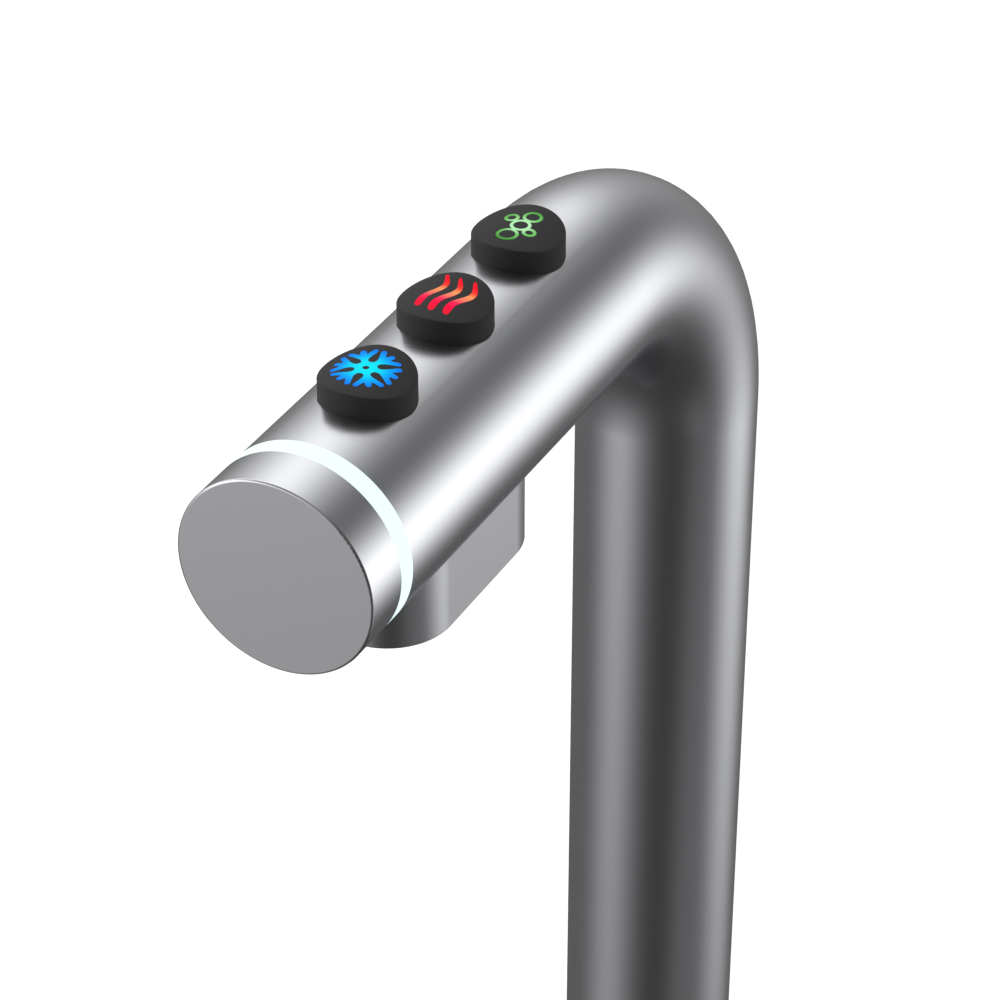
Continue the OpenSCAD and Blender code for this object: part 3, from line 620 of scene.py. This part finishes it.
def seamless_copy(node: str, name: str, finish: Finish) -> Object:
    """Copies a CAD node whose shape is right, and smooths the shading over its seams.

    The solid's mesh is loose triangles, and along the line where a turned face meets itself their
    normals lean half a facet to either side, which shows as a crease in satin metal.

    Args:
        node: the CAD node.
        name: the copy's name.
        finish: the finish to wear.

    Returns:
        The copy.
    """
    points, triangles, normals = merged_triangles(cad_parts[node].data)
    mesh = bpy.data.meshes.new(name)
    mesh.from_pydata(points.tolist(), [], triangles.tolist())
    mesh.shade_smooth()
    mesh.normals_split_custom_set(smooth_normals(points, triangles, normals).tolist())
    mesh.materials.append(finish.material())
    piece = bpy.data.objects.new(name, mesh)
    bpy.context.scene.collection.objects.link(piece)
    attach(piece, "tap")
    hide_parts(node)
    LOG.info("%s: seamless copy of %s, %d triangles", name, node, len(mesh.polygons))
    return piece


def carry_over(finish: Finish, *names: str) -> None:
    """Gives CAD nodes whose shape is right their finish.

    Args:
        finish: the finish to wear.
        names: the nodes.
    """
    for name in names:
        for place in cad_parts[name].material_slots:
            place.material = finish.material()
        LOG.info("%s: kept, in %s", name, finish.name)


def capsule(x: np.ndarray, y: np.ndarray, start: tuple, end: tuple, half: float) -> np.ndarray:
    """Distance from points to a round-ended stroke.

    The nearest place on the stroke's line is the projection onto it, held between its ends. The
    distance to that place less half the stroke's width is the result, negative inside.

    Args:
        x: places across.
        y: places up.
        start: one end of the stroke's line.
        end: the other end.
        half: half the stroke's width.

    Returns:
        The distances.
    """
    along = np.array(end) - np.array(start)
    share = ((x - start[0]) * along[0] + (y - start[1]) * along[1]) / (along @ along)
    share = np.clip(share, 0, 1)
    return np.hypot(x - start[0] - share * along[0], y - start[1] - share * along[1]) - half


def snowflake(x: np.ndarray, y: np.ndarray) -> np.ndarray:
    """Distance to a snowflake: one arm that ends in three prongs, repeated every 60 degrees.

    The strokes melt together: their distances are joined as minus the logarithm of the sum of e to
    the power of minus each distance, both over a melting width. A disc fills the middle, and a small
    hole is cut from it.

    Args:
        x: places across, in millimetres.
        y: places up.

    Returns:
        The distances, negative inside.
    """
    sixth, start, melt = math.pi / 3, math.radians(4.0), 0.3
    tip, fork, prong = (7.2, 0.0), (4.0, 0.0), (6.95, 2.8)
    arm_half, prong_half, disc_r, hole_r = 0.68, 0.66, 2.5, 0.78
    u, v = x - FLAKE_CENTRE[0], y - FLAKE_CENTRE[1]
    away = np.hypot(u, v)
    turn = (np.arctan2(v, u) - start + sixth / 2) % sixth - sixth / 2
    along, aside = away * np.cos(turn), np.abs(away * np.sin(turn))
    strokes = (
        capsule(along, aside, (0.0, 0.0), tip, arm_half),
        capsule(along, aside, fork, prong, prong_half),
        away - disc_r,
    )
    joined = -melt * np.log(sum(np.exp(-stroke / melt) for stroke in strokes))
    return np.maximum(joined, hole_r - away)


def heat_waves(x: np.ndarray, y: np.ndarray) -> np.ndarray:
    """Distance to three S-shaped flames, thick below the middle and pointed at both ends.

    A flame's line sways by a sine of the height, which runs slower below the line's furthest place to
    the left. Its half width is drawn through set widths. The distance across is taken square to the
    line, by the cosine of the line's slope, and the flame ends at a reach from its centre.

    Args:
        x: places across, in millimetres.
        y: places up.

    Returns:
        The distances, negative inside.
    """
    sway, wave, turn, slower = 1.13, math.pi / 6.6, 0.1, 0.55
    flames, centre, reach = ((-3.4, 0.6), (0.45, -0.1), (4.25, 0.1)), 0.65, 8.2
    left = turn - math.pi / (2 * wave)
    heights = (-7.4, -7.1, -6.3, -4.2, 0.5, 2.6, 5.6, 8.1, 8.8)
    widths = (0, 0.5, 0.84, 0.98, 0.84, 0.8, 0.62, 0.4, 0)
    distances = []
    for middle, lift in flames:
        v = y - lift
        rate = np.where(v < left, slower, 1.0)
        phase = wave * (left - turn + rate * (v - left))
        line = middle + sway * np.sin(phase)
        slope = sway * wave * rate * np.cos(phase)
        half = np.interp(v, heights, widths)
        across = np.abs(x - line) / np.hypot(1.0, slope) - half
        distances.append(np.maximum(across, np.abs(v - centre) - reach))
    return np.minimum.reduce(distances)


def bubbles(x: np.ndarray, y: np.ndarray) -> np.ndarray:
    """Distance to five thin rings of three sizes that touch, as bubbles rise.

    Args:
        x: places across, in millimetres.
        y: places up.

    Returns:
        The distances, negative inside.
    """
    half = 0.4
    rings = (
        (1.1, 5.4, 2.45),
        (-3.45, 3.25, 1.85),
        (0.25, 0.65, 2.6),
        (3.55, -1.35, 1.75),
        (-0.65, -4.6, 2.75),
    )
    return np.minimum.reduce([np.abs(np.hypot(x - u, y - v) - r + half) - half for u, v, r in rings])


@dataclass(frozen=True)
class Icon:
    """A lit sign that follows a button's top.

    Attributes:
        distance: its distance function, over places across and up in millimetres.
        finish: its lit ink.
        half: half the side of the square grid that it is drawn on.
        cell: side of one cell of that grid.
        lift: height of its face over the cap.
        depth: its thickness.
    """

    distance: Callable[[np.ndarray, np.ndarray], np.ndarray]
    finish: IconFinish
    half: float = 8.9
    cell: float = 0.13
    lift: float = 0.04
    depth: float = 0.25

    def sheet(self) -> tuple[np.ndarray, np.ndarray, np.ndarray, np.ndarray]:
        """Works out the icon as a flat sheet.

        The distance function is taken on the grid. Cells whose middle lies inside are kept, and the
        points on their outline move onto the zero line, twice, along the slope of the distance and
        by its value.

        Returns:
            Places across and up, and the point numbers of each square and each outline edge.
        """
        line = np.arange(-self.half, self.half + self.cell, self.cell)
        x, y = np.meshgrid(line, line, indexing="ij")
        count = len(line)
        middle = self.cell / 2
        i, j = np.nonzero(self.distance(x[:-1, :-1] + middle, y[:-1, :-1] + middle) < 0)
        first = i * count + j
        squares = np.stack([first, first + count, first + count + 1, first + 1], -1)
        edges = np.concatenate([squares[:, [k, (k + 1) % 4]] for k in range(4)])
        keys = edges[:, 0] * count ** 2 + edges[:, 1]
        twins = edges[:, 1] * count ** 2 + edges[:, 0]
        outline = edges[~np.isin(twins, keys)]
        x, y = x.ravel(), y.ravel()
        moved = np.unique(outline)
        step = self.cell / 10
        for _ in range(2):
            u, v = x[moved], y[moved]
            away = np.clip(self.distance(u, v), -middle, middle)
            slope_x = (self.distance(u + step, v) - self.distance(u - step, v)) / (2 * step)
            slope_y = (self.distance(u, v + step) - self.distance(u, v - step)) / (2 * step)
            x[moved] = u - away * slope_x
            y[moved] = v - away * slope_y
        return x, y, squares, outline


# Chilled water: cyan in the middle and blue at the tips
SNOWFLAKE = Icon(
    snowflake,
    IconFinish(
        "lit_snowflake_ink",
        centre=FLAKE_CENTRE,
        stops=((0.0, "#00F4FF"), (0.42, "#00E0FF"), (0.72, "#00A4FF"), (1.0, "#0A78F5")),
    ),
)
# Boiling water: crimson below, orange a little above the middle, red at the upper tips
FLAMES = Icon(
    heat_waves,
    IconFinish(
        "lit_flame_ink",
        shade=Shade.UPWARD,
        stops=(
            (0.06, "#F0142E"),
            (0.27, "#FF0044"),
            (0.4, "#FF2858"),
            (0.52, "#FF7E68"),
            (0.65, "#FFA060"),
            (0.77, "#FF4034"),
            (0.88, "#FF1028"),
        ),
    ),
)
# Sparkling water: pale green in the middle ring and leaf green outside
BUBBLES = Icon(
    bubbles,
    IconFinish(
        "lit_bubble_ink",
        centre=(0.25, 0.65),
        stops=((0.0, "#BEFAC3"), (0.32, "#B4F0B4"), (0.55, "#7CCB70"), (0.95, "#4A9A38")),
    ),
)


@dataclass
class PushButton:
    """One push button: cap with a rounded rim, lit icon, light guide, plunger and return spring.

    Heights are over the arm's axis, and radii are about the button's own axis.

    Attributes:
        name: which water it gives.
        station: its distance from the column's axis.
        icon: its icon.
        radius: the cap's radius.
        crown: radius about the arm's axis of the cap's top.
        rim: radius of the cap's rounded rim.
        foot: height of the cap's lower end.
        pocket_r: radius of the pocket for the light guide.
        pocket_top: height of the pocket's flat top.
        hub: radius of the innermost ring of points.
        columns: points on each ring.
        top_rings: rings within the rim.
        rim_rings: rings on the rim.
        wall_rings: rings below the rim.
        spring_r: radius of the spring's coil, to the middle of the wire.
        wire: the wire's diameter.
        spring_low: height of the spring's lower end.
        spring_high: height of its upper end.
        turns: number of its turns.
        closed_share: rise of a closed end turn over the wire's diameter.
        wire_sides: points round the wire.
        turn_steps: points along one turn.
    """

    name: str
    station: float
    icon: Icon
    radius: float = 11.4
    crown: float = 30.52
    rim: float = 0.35
    foot: float = 19.2
    pocket_r: float = 9.3
    pocket_top: float = 27.31
    hub: float = 0.4
    columns: int = 120
    top_rings: int = 13
    rim_rings: int = 7
    wall_rings: int = 4
    spring_r: float = 4.6
    wire: float = 0.8
    spring_low: float = 12.0
    spring_high: float = 20.0
    turns: float = 5.0
    closed_share: float = 1.03
    wire_sides: int = 12
    turn_steps: int = 48

    @property
    def body(self) -> str:
        """Name of the body that the button moves with."""
        return f"{self.name}_button"

    def in_frame(self, points: np.ndarray) -> np.ndarray:
        """Moves points from the button's own centre to the frame.

        Args:
            points: x across, y towards the column and z over the arm's axis, in millimetres.

        Returns:
            The points in metres.
        """
        return (points + np.array([0.0, -self.station, AXIS_H])) * MM

    def crown_at(self, x: np.ndarray) -> np.ndarray:
        """Height of the cap's top at a place across: a circle about the arm's axis."""
        return np.sqrt(self.crown ** 2 - x ** 2)

    def build_cap(self) -> None:
        """Builds the cap as a profile carried round its own axis.

        Each ring has a radius and a depth below the crown. On the rim the radius grows with the sine
        of an angle and the depth with one less its cosine. Below it the wall runs down to a flat
        foot, and back up inside the pocket for the light guide.
        """
        around = np.linspace(0, 2 * math.pi, self.columns, endpoint=False)
        bend = np.linspace(0, math.pi / 2, self.rim_rings)
        inside = self.radius - self.rim
        flat = np.linspace(self.hub, inside, self.top_rings, endpoint=False)
        radii = np.concatenate([flat, inside + self.rim * np.sin(bend)])
        depths = np.concatenate([np.zeros_like(flat), self.rim * (1 - np.cos(bend))])
        x, y = radii[:, None] * np.sin(around), radii[:, None] * np.cos(around)
        top = np.stack([x, y, self.crown_at(x) - depths[:, None]], -1)
        share = np.linspace(0, 1, self.wall_rings + 1)[1:, None]
        wall_z = top[-1, :, 2] * (1 - share) + self.foot * share
        wall = np.stack(np.broadcast_arrays(x[-1], y[-1], wall_z), -1)
        pocket_radii = np.array([self.pocket_r, self.pocket_r, self.hub])[:, None]
        pocket_z = np.array([self.foot, self.pocket_top, self.pocket_top])[:, None]
        x, y = pocket_radii * np.sin(around), pocket_radii * np.cos(around)
        inner = np.stack(np.broadcast_arrays(x, y, pocket_z), -1)
        rings = np.concatenate([top, wall, inner])[:, ::-1]
        vertices, faces = rings_to_solid(self.in_frame(rings))
        source = (f"{self.name}_button_cap",)
        shape(f"{self.name}_cap", vertices, faces, BLACK_CAP, self.body, source)

    def build_icon(self) -> None:
        """Builds the icon as an inlay: its sheet laid on the cap's top, and once more set deeper."""
        x, y, squares, outline = self.icon.sheet()
        upper = np.stack([x, y, self.crown_at(x) + self.icon.lift], -1)
        lower = upper - np.array([0.0, 0.0, self.icon.depth])
        total = len(x)
        walls = np.concatenate([outline[:, ::-1], outline + total], 1)
        faces = np.concatenate([squares, squares[:, ::-1] + total, walls])
        used, numbers = np.unique(faces, return_inverse=True)
        vertices = self.in_frame(np.concatenate([upper, lower])[used])
        faces = numbers.reshape(faces.shape).tolist()
        finish = replace(self.icon.finish, station=self.station)
        shape(f"{self.name}_icon", vertices, faces, finish, self.body)

    def build_spring(self) -> None:
        """Builds the return spring as a round section carried along a helix, with closed ends.

        The helix rises slowly over its first and last turn, where the coils lie on each other, and
        evenly between them. The section stands square to the helix.
        """
        way = np.linspace(0, 1, int(self.turns * self.turn_steps) + 1)
        angle = 2 * math.pi * self.turns * way
        low, high = self.spring_low + self.wire / 2, self.spring_high - self.wire / 2
        closed = self.closed_share * self.wire / (high - low)
        rise = np.interp(way, [0, 1 / self.turns, 1 - 1 / self.turns, 1], [0, closed, 1 - closed, 1])
        out = np.stack([np.cos(angle), np.sin(angle), np.zeros_like(angle)], -1)
        up = np.array([0.0, 0.0, 1.0])
        centre = self.spring_r * out + (low + (high - low) * rise)[:, None] * up
        around = np.linspace(0, 2 * math.pi, self.wire_sides, endpoint=False)
        section = np.cos(around)[None, :, None] * out[:, None, :] + np.sin(around)[None, :, None] * up
        rings = centre[:, None, :] + self.wire / 2 * section
        vertices, faces = rings_to_solid(self.in_frame(rings))
        source = (f"{self.name}_button_spring",)
        spring = shape(f"{self.name}_spring", vertices, faces, SPRING_WIRE, "tap", source)
        # The press is 1 mm long
        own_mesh(spring)

    def build(self) -> None:
        """Builds the button's own pieces and dresses the rest of its nodes."""
        self.build_cap()
        self.build_icon()
        self.build_spring()
        carry_over(LIT_GUIDE, f"{self.name}_light_guide")
        carry_over(CLEAR_PC, f"{self.name}_button_plunger")
        carry_over(BLACK_CAP, f"{self.name}_switch")


@dataclass
class Spout:
    """The bent tube and what it hides: carrier, board, loom, spacers and their screws."""

    def build(self) -> None:
        """Dresses the tube and the works inside it."""
        seamless_copy("spout_tube", "bent_tube", SATIN_TUBE)
        carry_over(GLASS_NYLON, "button_carrier", "lower_pipe_spacer", "upper_pipe_spacer")
        carry_over(SCREW_STEEL, "carrier_screws", "board_screws", "tube_grub_screw")
        carry_over(SOLDER_MASK, "control_board")
        carry_over(CLEAR_PC, "board_connector", "loom_socket")
        carry_over(BLACK_RUBBER, "wiring_loom", "shank_grommet")


@dataclass
class FrontEnd:
    """The arm's front: glowing ring with its board and lamps, plug and end cap."""

    def build(self) -> None:
        """Dresses the front end."""
        seamless_copy("light_ring", "glowing_ring", OPAL_RING)
        carry_over(SOLDER_MASK, "ring_board")
        carry_over(LAMP_WHITE, "ring_lamps")
        carry_over(TURNED_ALUMINIUM, "end_plug")
        seamless_copy("end_cap", "front_cap", TURNED_CAP)
        carry_over(SCREW_STEEL, "plug_screws", "end_cap_grub_screw")
        carry_over(BLACK_RUBBER, "end_cap_o_ring")


@dataclass
class WaterPath:
    """Pipes, manifold, flow straighteners and the nozzle's shell."""

    def build(self) -> None:
        """Dresses the water path."""
        carry_over(BRIGHT_STEEL, *(f"{water}_pipe" for water in WATERS))
        carry_over(PALE_SILICONE, "boiling_pipe_sleeve")
        carry_over(BLACK_RUBBER, *(f"{water}_pipe_seal" for water in WATERS))
        carry_over(GLASS_NYLON, "outlet_manifold")
        carry_over(SCREW_STEEL, "manifold_screws", "nozzle_screws")
        carry_over(RAW_BRASS, "manifold_nuts")
        carry_over(CLEAR_PC, *(f"{water}_flow_straightener" for water in WATERS))
        seamless_copy("nozzle_shell", "nozzle_cover", SATIN_SHELL)


@dataclass
class DeckFitting:
    """Base, escutcheon, seals, and the threaded shank with its washers and back nut."""

    def build(self) -> None:
        """Dresses the deck fitting."""
        seamless_copy("escutcheon", "cover_ring", TURNED_BASE)
        seamless_copy("shank", "threaded_shank", BRIGHT_STEEL)
        seamless_copy("back_nut", "hexagon_nut", RAW_BRASS)
        carry_over(TURNED_BASE, "base_body")
        carry_over(BLACK_RUBBER, "lower_base_o_ring", "upper_base_o_ring")
        carry_over(BLACK_RUBBER, "deck_gasket", "rubber_washer")
        carry_over(BRIGHT_STEEL, "steel_washer")


@dataclass(frozen=True)
class SoftLight:
    """One soft light far off, by its direction from the tap.

    Attributes:
        place: where it stands.
        azimuth: its angle round the tap from -Y towards +X, in degrees.
        elevation: its angle over the horizon.
        falloff: how fast it fades with the angle from its middle: 6 is broad and 36 is small.
        level: its level in the middle, where 1 is white.
    """

    place: str
    azimuth: float
    elevation: float
    falloff: float
    level: float


def camera_share(tree: NodeTree) -> NodeSocket:
    """Adds a share that is 1 for rays from the camera, straight or through clear pieces, else 0.

    Args:
        tree: the node tree to add to.

    Returns:
        The share.
    """
    path = add_node(tree, "LightPath").outputs
    rays = {0: path["Is Camera Ray"], 1: path["Is Transmission Ray"]}
    return add_node(tree, "Math", rays, operation="MAXIMUM").outputs[0]


@dataclass
class Studio:
    """Camera, floor, and a room of soft lights round the tap.

    Attributes:
        eye: the camera's place in millimetres.
        azimuth: the camera's angle round the tap from -Y towards +X, in degrees.
        elevation: its angle over the horizon.
        lens: focal length in millimetres.
        sensor: width of its sensor in millimetres.
        floor_z: height of the floor, just under the longest pipe.
        floor_half: half the floor's side.
        floor_colour: sRGB colour of the floor.
        floor_roughness: its roughness.
        floor_lift: its own light for the camera, which makes it as white as the backdrop.
        ambient: the room's level where no light shines.
        lights: the soft lights round the tap.
    """

    eye: tuple[float, float, float] = (334.6, -735.14, 781.93)
    azimuth: float = 27.705
    elevation: float = 33.960
    lens: float = 125.54
    sensor: float = 36.0
    floor_z: float = -130.5
    floor_half: float = 6000.0
    floor_colour: str = "#E6E6E6"
    floor_roughness: float = 0.9
    floor_lift: float = 0.62
    ambient: float = 0.05
    lights: tuple[SoftLight, ...] = (
        SoftLight("panel behind on the right", 120, -10, 12, 1.45),
        SoftLight("that panel's edge", 140, -15, 16, 1.1),
        SoftLight("panel high behind on the left", -135, 50, 9, 1.15),
        SoftLight("ceiling behind", -165, 70, 6, 0.55),
        SoftLight("lamp over the rear wall", -155, 35, 12, 0.55),
        SoftLight("panel behind on the left", -105, 15, 12, 1.4),
        SoftLight("lamp on the left", -60, 10, 16, 2.35),
        SoftLight("lamp in front", -30, 0, 12, 1.3),
        SoftLight("light off the floor", -35, -35, 10, 0.31),
        SoftLight("rear wall", -170, 0, 9, 0.25),
        SoftLight("reflector low on the right", 70, -40, 24, 0.12),
        SoftLight("reflector low on the left", -110, -35, 6, 0.07),
        SoftLight("fill over the camera", 15, 45, 12, 0.4),
    )

    @staticmethod
    def direction(azimuth: float, elevation: float) -> Vector:
        """Unit vector towards an azimuth, from -Y towards +X, and an elevation, in degrees."""
        turn, rise = math.radians(azimuth), math.radians(elevation)
        return Vector((math.sin(turn) * math.cos(rise), -math.cos(turn) * math.cos(rise), math.sin(rise)))

    def build_camera(self) -> None:
        """Sets the camera at the photograph's place and angle, upright and without shift."""
        back = self.direction(self.azimuth, self.elevation)
        turn = math.radians(self.azimuth)
        right = Vector((math.cos(turn), math.sin(turn), 0.0))
        axes = Matrix((right, back.cross(right), back)).transposed().to_4x4()
        data = bpy.data.cameras.new("camera")
        data.lens = self.lens
        data.sensor_width = self.sensor
        camera = bpy.data.objects.new("camera", data)
        camera.matrix_world = Matrix.Translation(Vector(self.eye) * MM) @ axes
        bpy.context.scene.collection.objects.link(camera)
        bpy.context.scene.camera = camera

    def build_floor(self) -> None:
        """Lays a pale floor: matt, with a lift for the camera so that it runs into the backdrop."""
        half, z = self.floor_half, self.floor_z
        corners = np.array([(-half, -half, z), (half, -half, z), (half, half, z), (-half, half, z)]) * MM
        mesh = bpy.data.meshes.new("floor")
        mesh.from_pydata(corners.tolist(), [], [(0, 1, 2, 3)])
        material = bpy.data.materials.new("matt_white_paper")
        material.use_nodes = True
        tree = material.node_tree
        shader = tree.nodes["Principled BSDF"]
        shader.inputs["Base Color"].default_value = linear(self.floor_colour)
        shader.inputs["Roughness"].default_value = self.floor_roughness
        shader.inputs["Specular IOR Level"].default_value = 0.0
        level = {0: camera_share(tree)}
        lift = add_node(tree, "Math", level, {1: self.floor_lift}, operation="MULTIPLY")
        glow = add_node(tree, "Emission", {"Strength": lift.outputs[0]})
        both = add_node(tree, "AddShader", {0: shader.outputs[0], 1: glow.outputs[0]})
        tree.links.new(both.outputs[0], tree.nodes["Material Output"].inputs["Surface"])
        mesh.materials.append(material)
        floor = bpy.data.objects.new("floor", mesh)
        floor.visible_glossy = False
        floor.visible_shadow = False
        bpy.context.scene.collection.objects.link(floor)

    def build_world(self) -> None:
        """Makes the room of soft lights, with a white backdrop for the camera.

        A light's share at a direction is e to the power of its falloff times the cosine of the
        angle between them less one. Their sum lights the tap and is what its metal shows. Glossy
        rays see these lights and not the white, because the photographed steel has dark and light
        bands along it, and would be an even grey in a white room.
        """
        world = bpy.data.worlds.new("studio")
        world.use_nodes = True
        bpy.context.scene.world = world
        tree = world.node_tree
        tree.nodes.clear()
        way = add_node(tree, "TexCoord").outputs["Generated"]
        base = add_node(tree, "Value")
        base.outputs[0].default_value = self.ambient
        total = base.outputs[0]
        for light in self.lights:
            toward = {1: self.direction(light.azimuth, light.elevation)}
            cosine = add_node(tree, "VectorMath", {0: way}, toward, operation="DOT_PRODUCT")
            steps = {1: light.falloff, 2: -light.falloff}
            links = {0: cosine.outputs["Value"]}
            power = add_node(tree, "Math", links, steps, operation="MULTIPLY_ADD")
            share = add_node(tree, "Math", {0: power.outputs[0]}, operation="EXPONENT")
            links = {0: share.outputs[0], 2: total}
            level = {1: light.level}
            total = add_node(tree, "Math", links, level, operation="MULTIPLY_ADD").outputs[0]
            LOG.info("%s: level %.2f", light.place, light.level)
        room = add_node(tree, "Background", {"Strength": total}, {"Color": (1, 1, 1, 1)})
        plain = {"Color": (1, 1, 1, 1), "Strength": 1.0}
        white = add_node(tree, "Background", None, plain)
        links = {"Fac": camera_share(tree), 1: room.outputs[0], 2: white.outputs[0]}
        mixed = add_node(tree, "MixShader", links)
        add_node(tree, "OutputWorld", {"Surface": mixed.outputs[0]})

    def build(self) -> None:
        """Sets up the camera, the floor and the lights."""
        self.build_camera()
        self.build_floor()
        self.build_world()
        bpy.context.scene.view_settings.view_transform = "Standard"


def main() -> None:
    """Builds the tap's sub-assemblies and the studio."""
    logging.basicConfig(level=logging.INFO)
    parts = (
        Spout(),
        PushButton("chilled", 161.85, SNOWFLAKE),
        PushButton("boiling", 125.15, FLAMES),
        PushButton("sparkling", 88.45, BUBBLES),
        FrontEnd(),
        WaterPath(),
        DeckFitting(),
        Studio(),
    )
    for part in parts:
        part.build()


if __name__ == "__main__":
    main()
